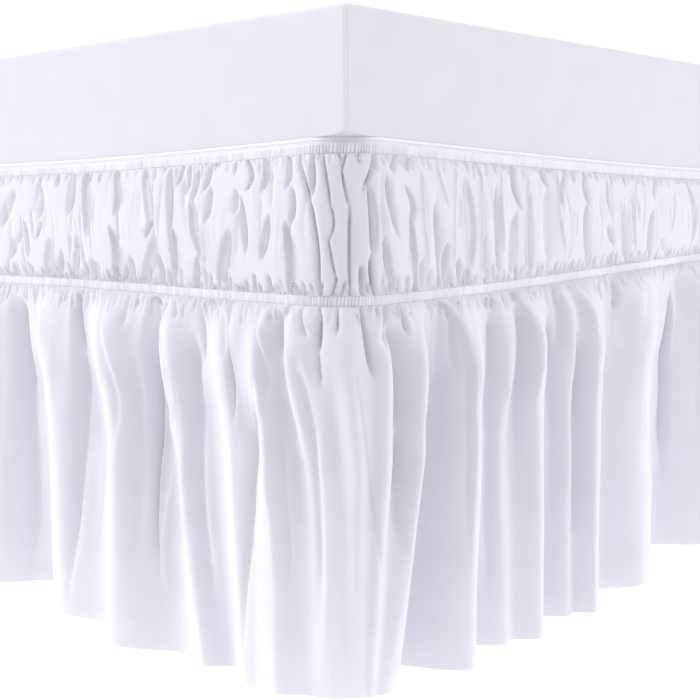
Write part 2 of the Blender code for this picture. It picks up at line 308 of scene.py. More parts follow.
# The main creases of the ruffle and of the band, in millimetres
RUFFLE_CREASES = (
    # start, end, top, middle, low, depth, left, right
    (10, 246, -540, -537, -550, -2.8, 14, 14),
    (169, 364, -546, -553, -562, -1.9, 10, 10),
    (3, 144, -469, -426, -509, 3.1, 24, 24),
    (106, 373, -511, -522, -538, 1.7, 14, 14),
    (0.5, 174, -402, -389, -391, -5.6, 13.5, 13.5),
    (0.5, 181, -346, -294, -285, 1.6, 10.5, 10.5),
    (0.5, 169, -268, -266, -265, -5.3, 13, 13),
    (3, 275, -239, -208, -230, 3.1, 9.5, 9.5),
    (0.5, 138, -183, -181, -184, -4.3, 17, 17),
    (122, 303, -183, -170, -153, -4.7, 13, 13),
    (0.5, 105, -145, -111, -112, 2.4, 10.5, 10.5),
    (45, 124, -98, -97, -100, -1.2, 11.5, 11.5),
    (115, 274, -106, -99, -90, 4, 12, 12),
    (34, 181, -71, -67, -80, 2.2, 10, 11.5),
    (189, 326, -66, -58, -51, 3.1, 14.5, 14.5),
    (0.5, 190, -68, -40, -46, -4, 24, 24),
    (160, 306, -47, -40, -32, -2.8, 11.5, 11.5),
    (22, 225, -26, -22, -24, 1.6, 7, 7),
    (0.5, 111, 120, 113, 114, -4, 11.5, 11.5),
    (5, 102, 66, 52, 52, 3.1, 8.5, 8.5),
    (2, 70, 161, 130, 123, 2.8, 12.5, 12.5),
    (101, 308, 126, 142, 182, -3.1, 29, 29),
    (96, 286, 108, 104, 101, 2, 13, 13),
    (6, 136, 208, 202, 212, -2.8, 11.5, 11.5),
    (6, 248, 288, 238, 226, 3.4, 11.5, 11.5),
    (16, 292, 327, 321, 311, -2.2, 33, 33),
    (12, 115, 411, 354, 368, 2.6, 10, 10),
    (12, 88, 453, 436, 429, -1.9, 11, 11),
    (90, 348, 450, 450, 442, 2.6, 18, 18),
    (44, 346, 614, 622, 625, -3.1, 11.5, 11.5),
    (19, 104, 512, 464, 470, 3.1, 13.5, 13.5),
    (6, 68, -395, -384, -379, 9, 6.4, 2.1),
    (66, 351, -379, -382, -389, 8, 6.3, 5.4),
    (1, 171, -348, -292, -288, 1.8, 6.3, 3.2),
    (2, 19, -424, -417, -415, 4, 2.5, 2.5),
    (3, 37, -301, -293, -288, 3, 3.3, 3.3),
    (3, 14, -294, -286, -282, 5, 1.7, 1.7),
    (2, 12, -262, -257, -249, 6, 2.9, 2.6),
    (9, 307, -239, -251, -232, 9.5, 8.1, 1.4),
    (4, 23, -229, -218, -213, 4, 2.6, 2.1),
    (0.5, 69, -191, -173, -177, 6.5, 8.2, 2.9),
    (43, 334, -187, -180, -152, 12, 9, 8.1),
    (2, 120, -145, -110, -107, 5.5, 3.7, 1.2),
    (10, 54, -148, -130, -119, 4, 6.1, 5.1),
    (0.5, 95, -100, -72, -67, 3.6, 6.3, 2.2),
    (83, 346, -76, -92, -91, 7, 6.3, 5.4),
    (1, 13, -62, -59, -58, 4, 2, 2),
    (10, 53, -62, -57, -46, 6.5, 6.2, 2),
    (3, 31, -42, -34, -28, 6.5, 3.2, 1.2),
    (1, 12, -25, -23, -20, 6, 1.3, 1.2),
    (10, 43, -21, -20, -20, 9, 2, 1.3),
    (42, 74, -20, -19, -18, 4, 1.6, 1.4),
    (1, 26, -9, -8, -8, 7, 1.4, 1.4),
    (52, 307, -32, -21, -22, 10, 7.4, 4.6),
    (121, 282, -55, -50, -44, 5, 3.6, 2.7),
    (134, 281, -20, -18, -16, -2, 1.4, 2.7),
    (107, 327, -206, -234, -220, -2, 2.7, 3.7),
    (20, 382, -520, -526, -544, 12, 6.9, 7.5),
    (77, 289, -270, -264, -252, 7, 7.2, 6.3),
    (7, 19, 6, 7, 7, 4, 1.8, 1.8),
    (2, 68, 11, 11, 15, 7, 1.5, 2.3),
    (3, 12, 24, 24, 22, 4, 1.3, 1.3),
    (0.5, 42, 37, 28, 23, 10, 3.3, 2.7),
    (20, 124, 33, 37, 42, 13, 5.1, 6),
    (120, 244, 42, 40, 36, 8, 4, 4.5),
    (2, 30, 55, 50, 50, 7, 1.3, 1.2),
    (65, 292, 3, 13, 22, 2, 1.8, 1.8),
    (59, 183, -8, -9, -10, 3, 8.1, 8.1),
    (1, 12, 97, 98, 98, 4, 2.6, 2.4),
    (2, 13, 116, 115, 114, 4, 1.6, 1.5),
    (4, 22, 120, 118, 118, 6, 1.4, 1.4),
    (14, 75, 121, 117, 115, 6, 5.4, 1.4),
    (5, 15, 144, 135, 127, 5, 2.4, 2.4),
    (5, 16, 199, 194, 192, 6, 2.2, 2.1),
    (7, 18, 205, 201, 197, 5, 1.7, 1.6),
    (6, 15, 221, 220, 217, 4, 2.6, 2.4),
    (2, 13, 248, 242, 238, 7, 1.8, 1.5),
    (5, 15, 288, 278, 253, 5, 4.2, 3.6),
    (1, 14, 330, 325, 320, 7, 2.7, 2.3),
    (12, 76, 320, 316, 312, 5, 4.5, 3.6),
    (24, 319, 194, 189, 185, 7, 4.5, 4.5),
    (26, 265, 122, 118, 115, 5, 10.8, 1.4),
    (19, 204, 237, 226, 222, 6, 5.4, 4.5),
    (19, 87, 242, 238, 236, -2.5, 1.8, 2.2),
    (37, 268, 304, 306, 302, 7, 5.4, 4.5),
    (47, 284, 333, 336, 327, 8, 5.4, 5.4),
    (5, 43, 452, 443, 434, 6, 2.7, 2.5),
    (6, 17, 412, 413, 409, 4, 5.7, 5.2),
    (40, 277, 606, 612, 616, 10, 4.4, 1.6),
    (85, 257, 506, 498, 484, 6, 13, 13),
)

BAND_CREASES = (
    # start, end, top, middle, low, depth, left, right
    (17, 63, -521, -532, -548, 5, 11, 8.8),
    (54, 96, -495, -493, -495, 4.5, 5.5, 4.7),
    (66, 96, -502, -516, -525, 3.5, 6.5, 6.5),
    (9, 54, -473, -463, -467, 5, 9.6, 7.5),
    (54, 75, -459, -466, -474, 4, 3.7, 3.3),
    (0.5, 15, -440, -434, -434, 5.5, 4.4, 3.2),
    (0.5, 48, -408, -402, -407, 6, 8.7, 5.8),
    (0.5, 70, -382, -366, -370, 9.5, 12.2, 2.6),
    (75, 119, -443, -446, -463, 8.5, 14.2, 2.8),
    (88, 119, -423, -428, -440, 9, 7, 2.8),
    (73, 102, -521, -526, -540, 3, 6.6, 4.4),
    (72, 119, -391, -395, -408, 5.5, 6.8, 3.1),
    (95, 119, -367, -369, -376, 6.5, 7.4, 5.3),
    (0.5, 49, -328, -311, -319, 8.5, 9.8, 2.3),
    (61, 119, -326, -315, -336, 12, 11.6, 2.3),
    (104, 119, -306, -313, -327, 4.5, 2.9, 2.7),
    (91, 119, -296, -297, -302, 5.5, 6.2, 3.9),
    (2, 66, -273, -257, -252, 6.5, 10.9, 2.5),
    (54, 71, -258, -262, -266, 4.5, 3.4, 2.7),
    (71, 119, -249, -256, -283, 9, 15.2, 2.4),
    (89, 119, -246, -246, -254, 6.5, 4.7, 3),
    (3, 63, -232, -225, -224, 6, 6.5, 3.9),
    (60, 112, -220, -217, -228, 11.5, 7.7, 2.2),
    (104, 117, -231, -230, -232, 7, 3.3, 2.6),
    (0.5, 21, -215, -214, -217, 5, 3.5, 3.2),
    (0.5, 30, -204, -200, -203, 5, 4.1, 3.8),
    (7, 35, -186, -187, -191, 5, 5, 4.1),
    (36, 92, -189, -178, -172, 8.5, 12.4, 2),
    (89, 119, -183, -187, -198, 12, 7.1, 2.4),
    (0.5, 28, -170, -169, -175, 5, 4.6, 4),
    (24, 56, -162, -164, -167, 4, 6.1, 5.3),
    (0.5, 6, -160, -159, -155, 5, 3.2, 2.7),
    (65, 113, -132, -138, -155, 9.5, 12.6, 3),
    (27, 49, -124, -124, -125, 3.5, 5.8, 5.1),
    (0.5, 28, -118, -104, -110, 8, 3.1, 2.1),
    (34, 84, -117, -112, -111, 6.5, 5.4, 4),
    (0.5, 30, -92, -81, -88, 7.5, 6.8, 2),
    (51, 89, -76, -80, -90, 7.5, 7, 2.8),
    (0.5, 28, -62, -52, -55, 7.5, 4.3, 2.7),
    (28, 58, -46, -44, -45, 4.5, 4.8, 4.3),
    (59, 117, -52, -46, -58, 13, 8.7, 1.9),
    (0.5, 40, -45, -34, -28, 6, 1.5, 1.4),
    (36, 119, -28, -22, -25, 6, 1.6, 1),
    (0.5, 37, -29, -26, -26, 6.5, 3.2, 2),
    (0.5, 47, -20, -15, -12, 4.4, 1, 0.9),
    (44, 72, -12, -10, -14, 3.8, 1, 0.9),
    (70, 106, -14, -12, -9, 4.4, 1, 0.9),
    (102, 119, -9, -11, -15, 6, 1.2, 1),
    (0.5, 15, 0, -2, -4, 7, 1.4, 1.3),
    (0.5, 8, -7, -5, -4, 5, 1.4, 1.4),
    (13, 45, -4, -2, 1, 4.4, 1, 0.9),
    (43, 119, 2, 1, 2, 6, 1.7, 0.9),
    (106, 119, -2, -4, -6, 6.5, 1.6, 1.4),
    (93, 119, 10, 11, 12, 10, 2.7, 2.3),
    (87, 119, 17, 19, 24, 10.5, 1.8, 1.4),
    (0.5, 33, 25, 18, 10, 5, 1.6, 1.2),
    (28, 85, 16, 17, 18, 7, 1.6, 4.9),
    (74, 118, 28, 32, 42, 11, 2.1, 5),
    (0.5, 16, 53, 44, 40, 7.5, 3, 2.7),
    (20, 72, 32, 34, 42, 4.5, 2.9, 2.9),
    (0.5, 14, 78, 67, 60, 6.5, 2.7, 2.4),
    (28, 59, 55, 64, 59, 7, 2.8, 4.6),
    (56, 119, 59, 65, 81, 11, 2.2, 7.1),
    (42, 116, 100, 107, 118, 7, 5.8, 5.2),
    (77, 118, 120, 121, 130, 6.5, 5, 4.3),
    (92, 119, 140, 147, 157, 7, 4.4, 3.7),
    (90, 119, 82, 86, 96, 5, 5.5, 5.5),
    (10, 102, 84, 80, 95, -1.6, 2.3, 2.3),
    (5, 45, 110, 113, 124, -1.6, 2.6, 2.6),
    (5, 104, 142, 130, 136, -1.3, 2.2, 2.2),
    (20, 103, 152, 151, 160, 10, 3.4, 13.6),
    (101, 119, 159, 164, 171, 7, 3.1, 2.8),
    (6, 114, 183, 176, 185, -1.5, 2.5, 2.5),
    (73, 116, 183, 189, 201, 5, 6.3, 5.7),
    (15, 64, 197, 195, 197, -1.3, 2.3, 2.3),
    (24, 110, 207, 206, 218, 5, 5.8, 5.5),
    (4, 98, 222, 213, 225, -1.3, 2.4, 2.4),
    (1, 45, 248, 241, 249, 8.5, 4.1, 3.8),
    (48, 114, 240, 235, 244, 5, 11.3, 10.4),
    (7, 111, 272, 258, 268, -1.5, 2.5, 2.5),
    (28, 113, 270, 269, 279, 6, 5.1, 6.3),
    (0.5, 21, 307, 302, 308, 7.5, 4.4, 4),
    (22, 103, 306, 304, 311, 6, 15.2, 14.2),
    (1, 98, 331, 325, 346, -1.8, 2.9, 2.9),
    (0.5, 42, 355, 336, 330, 5.5, 3.4, 3.1),
    (0.5, 42, 394, 387, 392, 6, 5.3, 4.9),
    (38, 118, 386, 386, 407, 6, 6.7, 7.5),
    (11, 55, 439, 434, 439, 5.5, 3.7, 4.7),
    (65, 91, 432, 443, 449, 5.5, 7.5, 5.6),
    (41, 112, 469, 476, 489, 7, 10.2, 10.7),
    (31, 89, 464, 460, 463, -1.3, 3.1, 3.1),
    (4, 104, 512, 494, 511, -1.4, 4, 4),
    (47, 110, 546, 540, 548, 6.5, 7.3, 6.7),
    (87, 109, 571, 578, 587, 4, 7.8, 7.8),
    (2, 33, 570, 554, 548, 4, 4.7, 4.2),
    (13, 98, 646, 655, 656, 6.5, 4.7, 6.8),
)

# Creases strewn on the far sides and all round, and the short slits at the seams
RUFFLE_STREWN_FAR = (
    Strewn(34, (2, 6), (30, 110), (5, 10), (2.6, 4.0)),
    Strewn(60, (60, 110), (120, 240), (3, 8), (8, 14), lean=0.05),
)
RUFFLE_STREWN = (
    Strewn(45, (20, 200), (70, 170), (-1.6, 1.6), (5, 10), lean=0.06),
    Strewn(16, (12, 120), (60, 220), (-0.5, 1.0), (2.0, 4.2), lean=0.05),
)
RUFFLE_TEETH = (
    Strewn(10, (0.2, 1), (6, 26), (1.0, 3.4), (1.1, 2.0)),
)
BAND_STREWN_FAR = (
    Strewn(30, (1, 6), (30, 85), (5, 10), (2.4, 4.0)),
    Strewn(30, (1, 6), (30, 85), (5, 10), (2.4, 4.0), hangs=True),
    Strewn(55, (1, 8), (95, 108), (6, 11), (2.8, 4.5), lean=0.05),
    Strewn(26, (20, 50), (30, 60), (-3, 4), (4, 9), lean=0.2),
)
BAND_STREWN = (
    Strewn(24, (10, 50), (30, 65), (-1.0, 1.2), (4, 8), lean=0.15),
    Strewn(14, (6, 50), (30, 80), (-0.4, 1.3), (1.4, 2.6)),
)
BAND_TEETH = (
    Strewn(13, (0.2, 1), (4, 16), (1.0, 4.0), (1.0, 1.7), lean=0.12),
    Strewn(9, (0.2, 1), (4, 20), (1.5, 5.5), (1.0, 2.0), hangs=True),
)


def in_metres(rows, kind):
    """Rows of a table in millimetres as folds or creases in metres."""
    return [kind(*(size / 1000 for size in row)) for row in rows]


# ---------------------------------------------------------------- bed outline

def outline_knots():
    """Distances round the rounded outline where a straight run or an arc ends."""
    arc = math.pi * GRIP_RADIUS / 2
    run_y = BED_LENGTH - 2 * GRIP_RADIUS
    run_x = BED_WIDTH - 2 * GRIP_RADIUS
    runs = (arc / 2, run_y, arc, run_x, arc, run_y, arc, run_x, arc / 2)
    return np.concatenate(([0.0], np.cumsum(runs)))


KNOTS = outline_knots()
ROUND = KNOTS[-1]
HALF_ARC = KNOTS[1]
CORNERS = np.concatenate(([0.0], (KNOTS[2:8:2] + KNOTS[3:9:2]) / 2))
CENTRE_X = np.array((1, 1, 1, 1, -1, -1, -1, -1, 1, 1))
CENTRE_Y = np.array((-1, -1, 1, 1, 1, 1, -1, -1, -1, -1))
NORMAL_TURN = np.radians((-45, 0, 0, 90, 90, 180, 180, 270, 270, 315))


def rounded_outline(distance, radius, inset):
    """x and y on an outline drawn in by inset, with corners of the given radius.

    The corner's centre moves along the straight runs and the outward normal
    turns on the arcs: a point is centre + radius * normal.
    """
    along = np.mod(distance, ROUND)
    turn = np.interp(along, KNOTS, NORMAL_TURN)
    half_x = BED_WIDTH / 2 - inset - radius
    half_y = BED_LENGTH / 2 - inset - radius
    x = np.interp(along, KNOTS, CENTRE_X) * half_x + radius * np.cos(turn)
    y = np.interp(along, KNOTS, CENTRE_Y) * half_y + radius * np.sin(turn)
    return x, y


def around_bed(distance, out):
    """x and y of points out metres outside the gripped outline."""
    return rounded_outline(distance, GRIP_RADIUS + out, -out)


def between(distance, place):
    """Distance from a place round the bed, the shorter way, negative before it."""
    return (distance - place + ROUND / 2) % ROUND - ROUND / 2


def from_corner(distance):
    """Distance along the outline from the middle of the nearest corner."""
    return np.abs(between(distance[:, None], CORNERS)).min(axis=1)


def along_side(distance):
    """Eased sine, 0 at the corners and 1 at mid-side, and the side's index."""
    corners = np.append(CORNERS, ROUND)
    along = np.mod(distance, ROUND)
    side = np.clip(np.searchsorted(corners, along, side="right") - 1, 0, 3)
    share = (along - corners[side]) / (corners[side + 1] - corners[side])
    wave = np.sin(math.pi * share)
    eased = np.sqrt(wave ** 2 + CORNER_EASE ** 2) - CORNER_EASE
    return eased / (math.sqrt(1 + CORNER_EASE ** 2) - CORNER_EASE), side


def lower_rise(distance):
    """Rise of the lower casing above its corner height."""
    wave, side = along_side(distance)
    return LOWER_RISE[side] * wave ** 2


def upper_droop(distance):
    """Droop of the upper casing below its corner height."""
    wave, side = along_side(distance)
    return UPPER_DROOP[side] * wave


def smooth(value):
    """Smoothstep: 0 below 0, 1 above 1, eased between."""
    share = np.clip(value, 0, 1)
    return share * share * (3 - 2 * share)


# ---------------------------------------------------------------- folds

def blur(values, reach, axis):
    """Mean over reach places either side, along an axis, with its ends repeated."""
    pad = [(0, 0)] * values.ndim
    pad[axis] = (reach + 1, reach)
    total = np.cumsum(np.pad(values, pad, mode="edge"), axis=axis)
    size = values.shape[axis]
    upper = np.take(total, np.arange(2 * reach + 1, 2 * reach + 1 + size), axis=axis)
    lower = np.take(total, np.arange(size), axis=axis)
    return (upper - lower) / (2 * reach + 1)


def seam_steps(seam):
    """Lengths of the steps along a seam row (along, out, up), longer round a corner."""
    on_corner = np.clip((HALF_ARC - from_corner(seam[0])) / CORNER_BLEND + 0.5, 0, 1)
    stretch = 1 + seam[1] / GRIP_RADIUS * on_corner
    step = np.diff(seam)
    return np.sqrt((step[0] * stretch[:-1]) ** 2 + step[1] ** 2 + step[2] ** 2)


def cloth_columns(fine, coarse):
    """Places of a sheet's columns at its seam, once round, closest at the near corner."""
    near = np.arange(round((FINE_END - FINE_START) / fine)) * fine + FINE_START
    rest = ROUND - (FINE_END - FINE_START)
    count = round(rest / coarse)
    far = FINE_END + np.arange(count) * (rest / count)
    return np.concatenate((near, far, [FINE_START + ROUND]))


def all_lines():
    """The listed fold lines, then crests and valleys with seeded wander for the rest.

    Some are repeated a round before and after, so that the ring closes.
    """
    lines = in_metres(FOLD_LINES, FoldLine)
    start = lines[-1].hem
    rest = ROUND + lines[0].hem - start
    count = round(rest / FOLD_PITCH)
    wander = random.Random(FOLD_SEED)
    widths = [1 + wander.uniform(-FOLD_SPREAD, FOLD_SPREAD) for _ in range(2 * count)]
    places = start + np.cumsum(widths) * rest / sum(widths)
    for index, hem in enumerate(places[:-1]):
        level = VALLEY_OUT if index % 2 else CREST_OUT
        lines.append(FoldLine(
            top=hem + wander.uniform(-0.016, 0.016),
            middle=hem + wander.uniform(-0.009, 0.009),
            hem=hem,
            middle_out=level + wander.uniform(-0.012, 0.008),
            hem_out=level + wander.uniform(-0.013, 0.013)))
    turn = (ROUND, ROUND, ROUND, 0, 0)
    before = [FoldLine(*np.subtract(line, turn)) for line in lines[-4:]]
    after = [FoldLine(*np.add(line, turn)) for line in lines[:2]]
    return before + lines + after


def folds_at(seam):
    """The fold lines' columns at places along the seam, eased between two lines."""
    table = np.array(all_lines())
    position = np.interp(seam, table[:, 0], np.arange(len(table)))
    index = np.clip(position.astype(int), 0, len(table) - 2)
    share = (position - index)[:, None]
    ease = (1 - np.cos(math.pi * share)) / 2
    first, second = table[index], table[index + 1]
    places = first[:, :3] + (second - first)[:, :3] * share
    outs = first[:, 3:] + (second - first)[:, 3:] * ease
    return FoldLine(seam, places[:, 1], places[:, 2], outs[:, 0], outs[:, 1])


def between_levels(rows, middle_value, hem_value):
    """Straight from the middle level to the hem; rows above it keep the middle's."""
    below = np.clip((rows - MIDDLE) / (1 - MIDDLE), 0, 1)
    return middle_value + (hem_value - middle_value) * below


def uneven_places(start, end, pitch, spread, wander):
    """Places about a pitch apart, with gaps that differ by up to the given share."""
    gaps = 1 + wander.uniform(-spread, spread, max(2, round((end - start) / pitch)))
    return np.concatenate(([start], start + np.cumsum(gaps) / gaps.sum() * (end - start)))


def puckers(along, depth, height, reach, wander, pitch=0.0050):
    """Troughs between rounded tubes: each has its own height and its own reach down.

    Across a tube the trough's depth is 1 - sin(pi x) of the distance x to the
    nearer trough, in tube widths; down the sheet it fades as a bell of its reach.
    """
    places = uneven_places(FINE_START, FINE_START + ROUND, pitch, 0.45, wander)
    heights = height * wander.uniform(0.15, 1.6, len(places))
    reaches = reach * np.exp(wander.normal(0, 0.5, len(places)))
    heights[-1], reaches[-1] = heights[0], reaches[0]
    phase = np.interp((along - FINE_START) % ROUND + FINE_START, places,
                      np.arange(len(places)))
    nearest = np.rint(phase).astype(int)
    shape = (1 - np.sin(math.pi * np.abs(phase - nearest))) ** 1.4
    return heights[nearest] * shape * np.exp(-(depth / reaches[nearest]) ** 2)


def crease_bells(along, depth, crease, foot, drop):
    """Columns that a crease reaches, offsets from its line in half widths, and its fade.

    Its line is the parabola through its three places, and with drop it is widest
    halfway. It eases in and out down its length, faster where it starts or ends at a
    seam; foot is the lower seam's depth.
    """
    length = crease.end - crease.start
    held = np.clip((depth - crease.start) / length, 0, 1)
    bow = 4 * crease.middle - 2 * (crease.top + crease.low)
    line = crease.top + (crease.low - crease.top) * held + bow * held * (1 - held)
    ease_in = min(0.3 * length, 0.004 + crease.start)
    ease_out = min(0.4 * length, 0.004 + max(0.0, foot - crease.end))
    fade = (smooth((depth - crease.start) / ease_in + 0.35)
            * smooth((crease.end - depth) / ease_out + 0.20))
    near = between(along, line)
    reach = TAIL * max(crease.left, crease.right)
    columns = np.flatnonzero((np.abs(near) < reach).any(axis=0))
    if not len(columns):
        return None
    part = slice(columns[0], columns[-1] + 1)
    near = near[:, part]
    taper = 1 + drop * (0.80 * np.sin(math.pi * held) ** 0.8 - 0.65)
    left, right = (np.maximum(width * taper, min(width, LEAST_WIDTH))
                   for width in (crease.left, crease.right))
    return part, near / np.where(near < 0, left, right), fade


def creased(along, depth, creases, foot=OPEN_HEM, drop=0.0):
    """Sum of the creases' depths.

    Across its line an even crease is a bell with a convex tail on either side, which
    rounds the cloth between two creases. With drop, the wider side of an uneven one
    goes over a rounded edge and on down to the line. On the steep side the cloth
    stands up in a lip.
    """
    total = np.zeros_like(along)
    for crease in creases:
        found = crease_bells(along, depth, crease, foot, drop)
        if found is None:
            continue
        part, near, fade = found
        bell = (0.42 * np.exp(-(near / 0.6) ** 2) + 0.33 * np.exp(-(near / 1.3) ** 2)
                + 0.25 * np.maximum(0, 1 - np.abs(near) / TAIL) ** 2)
        uneven = (crease.left - crease.right) / max(crease.left, crease.right)
        steep = near * np.sign(uneven)
        wide = np.maximum(0, -steep)
        edged = ((0.50 + CORE * np.maximum(0, 1 - wide / 1.2) ** 3)
                 * (1 - smooth((wide - 1.1) / 0.6)))
        edged = np.where(steep > 0, (0.50 + CORE) * bell, edged)
        lip = LIP * np.exp(-((steep - 2.3) / 1.1) ** 2)
        total[:, part] += crease.depth * fade * (
            bell + abs(uneven) * (drop * (edged - bell) - lip))
    return total


def crease_weight(along, depth, creases, foot=OPEN_HEM, drop=0.0):
    """How closely the columns stand: 1 on even cloth and more in narrow deep creases."""
    weight = np.ones_like(along)
    for crease in creases:
        found = crease_bells(along, depth, crease, foot, drop)
        if found is None:
            continue
        part, near, fade = found
        strength = (CLOSING * min(1.0, abs(crease.depth) / DEEP)
                    * min(1.0, NARROW / min(crease.left, crease.right)))
        weight[:, part] += strength * fade * np.exp(-(near / 1.8) ** 2)
    return blur(blur(np.minimum(weight, 1 + CLOSING), 4, 0), 4, 0)


def gathered_columns(shape, weight, reach=20):
    """Slides the columns of each row of a shape (along, out, up) towards its creases.

    The columns stand evenly in the running sum of the weight, which is levelled
    over reach columns either side: they close up in a crease and open beside it.
    """
    place = shape[0]
    level = weight / blur(weight, reach, 1)
    steps = np.diff(place, axis=1) * (level[:, 1:] + level[:, :-1]) / 2
    run = np.concatenate((np.zeros((len(place), 1)), np.cumsum(steps, axis=1)), axis=1)
    run = place[:, :1] + run * ((place[:, -1:] - place[:, :1]) / run[:, -1:])
    moved = np.stack([np.interp(at, sums, at) for at, sums in zip(place, run)])
    rest = [np.stack([np.interp(new, old, row) for new, old, row in zip(moved, place, values)])
            for values in shape[1:]]
    return np.stack([moved] + rest)


def pressed(shape, press, wall, near):
    """Presses a shape (along, out, up) in, and ever less as it nears its wall.

    out = wall + room * exp(-press / room); where press is negative the shape is
    raised by it. At a seam, where near is 0, the cloth is held as it is.
    """
    press = press * (1 - np.exp(-near / SEAM_HOLD))
    room = shape[1] - wall
    inward = wall + room * np.exp(-np.maximum(press, 0) / room)
    return np.stack((shape[0], inward - np.minimum(press, 0), shape[2]))


def upright(shape):
    """Places along, slid so that gathers look upright from the near corner.

    A sheet that stands out of its seam slides in its way out, by LEFT_SLIDE of it
    on the left of the corner and by RIGHT_SLIDE on the right.
    """
    start = FINE_START - 0.2
    slide = np.interp((shape[0] - start) % ROUND + start,
                      (FINE_START - 0.1, FINE_START, -0.05, 0.05, FINE_END, FINE_END + 0.1),
                      (0, LEFT_SLIDE, LEFT_SLIDE, RIGHT_SLIDE, RIGHT_SLIDE, 0))
    return shape[0] - slide * (shape[1] - RUFFLE_EDGE_OUT)


def strewn(wander, kinds, start=FINE_START, end=FINE_START + ROUND, foot=OPEN_HEM):
    """Seeded creases of each kind in turn, strewn along a stretch of the seam."""
    creases = []
    for kind in kinds:
        tops, lengths, depths, widths = np.array(kind[1:5]) / 1000
        for place in uneven_places(start, end, kind.pitch / 1000, 0.5, wander)[1:-1]:
            top, length = wander.uniform(*tops), wander.uniform(*lengths)
            if kind.hangs:
                top = foot - top - length
            slide, bow = wander.normal(0, kind.lean, 2) * length
            left, right = wander.uniform(*widths) * wander.uniform(0.6, 1.5, 2)
            creases.append(Crease(
                start=top, end=top + length, top=place, middle=place + slide / 2 + bow / 3,
                low=place + slide, depth=wander.uniform(*depths), left=left, right=right))
    return creases


# ---------------------------------------------------------------- meshes

def grid_normals(points):
    """Unit normals of a grid of points (rows, columns, 3), columns once round."""
    down = np.gradient(points, axis=0)
    wrapped = np.concatenate((points[:, -2:-1], points, points[:, 1:2]), axis=1)
    across = (wrapped[:, 2:] - wrapped[:, :-2]) / 2
    normal = np.cross(down, across)
    return normal / np.maximum(np.linalg.norm(normal, axis=-1, keepdims=True), 1e-12)


def grid_object(name, points, material, flat=None, normals=None, close_rows=False,
                close_columns=False):
    """Object from a grid of points (rows, columns, 3) whose rows run downwards.

    flat gives each point's place on the cut cloth, in metres, as the UV map.
    """
    rows, columns = points.shape[:2]
    index = np.arange(rows * columns).reshape(rows, columns)
    if close_rows:
        index = np.concatenate((index, index[:1]), axis=0)
    if close_columns:
        index = np.concatenate((index, index[:, :1]), axis=1)
    faces = np.stack((index[:-1, :-1], index[1:, :-1], index[1:, 1:], index[:-1, 1:]),
                     axis=-1).reshape(-1, 4)
    mesh = bpy.data.meshes.new(name)
    mesh.vertices.add(rows * columns)
    mesh.vertices.foreach_set("co", points.astype(np.float32).ravel())
    mesh.loops.add(faces.size)
    mesh.loops.foreach_set("vertex_index", faces.astype(np.int32).ravel())
    mesh.polygons.add(len(faces))
    mesh.polygons.foreach_set("loop_start", np.arange(0, faces.size, 4, dtype=np.int32))
    mesh.update(calc_edges=True)
    if flat is not None:
        layer = mesh.uv_layers.new(name="cut_cloth")
        corner = flat.reshape(-1, 2)[faces.ravel()]
        layer.data.foreach_set("uv", corner.astype(np.float32).ravel())
    mesh.shade_smooth()
    if normals is not None:
        mesh.normals_split_custom_set_from_vertices(normals.reshape(-1, 3).tolist())
    mesh.materials.append(material)
    placed = bpy.data.objects.new(name, mesh)
    bpy.context.scene.collection.objects.link(placed)
    return placed


def weld(piece):
    """Merges the doubled points of poles."""
    bm = bmesh.new()
    bm.from_mesh(piece.data)
    bmesh.ops.remove_doubles(bm, verts=bm.verts[:], dist=1e-5)
    bm.to_mesh(piece.data)
    bm.free()


# ---------------------------------------------------------------- materials

def add_node(tree, kind, inputs=None, **settings):
    """Adds a node with its settings; an input is given a value, or a socket to read."""
    node = tree.nodes.new(f"ShaderNode{kind}")
    for name, value in settings.items():
        setattr(node, name, value)
    for name, value in (inputs or {}).items():
        if isinstance(value, bpy.types.NodeSocket):
            tree.links.new(value, node.inputs[name])
        else:
            node.inputs[name].default_value = value
    return node


def new_material(name, colour, **even_values):
    """A Principled material with its even values set on the shader itself."""
    material = bpy.data.materials.new(name)
    material.use_nodes = True
    tree = material.node_tree
    shader = tree.nodes["Principled BSDF"]
    shader.inputs["Base Color"].default_value = (*colour, 1.0)
    for socket, value in even_values.items():
        shader.inputs[socket.replace("_", " ")].default_value = value
    return material, tree, shader


def noise(tree, place, scale, **inputs):
    """Noise on the given coordinates."""
    inputs = {name.capitalize(): value for name, value in inputs.items()}
    return add_node(tree, "TexNoise", {"Vector": place, "Scale": scale, **inputs}).outputs["Fac"]


def tint(tree, shader, pattern, colour, start, end, dark, light):
    """Colours the shader from dark to light shares of a colour between two levels."""
    ramp = add_node(tree, "ValToRGB", {"Fac": pattern})
    for element, level, share in zip(ramp.color_ramp.elements, (start, end), (dark, light)):
        element.position = level
        element.color = (*[min(1, part * share) for part in colour], 1)
    tree.links.new(ramp.outputs["Color"], shader.inputs["Base Color"])


def bump(tree, pattern, strength, distance, under=None):
    """A bump of the given height, on top of the bump under it."""
    inputs = {"Strength": strength, "Distance": distance, "Height": pattern}
    if under:
        inputs["Normal"] = under
    return add_node(tree, "Bump", inputs).outputs["Normal"]


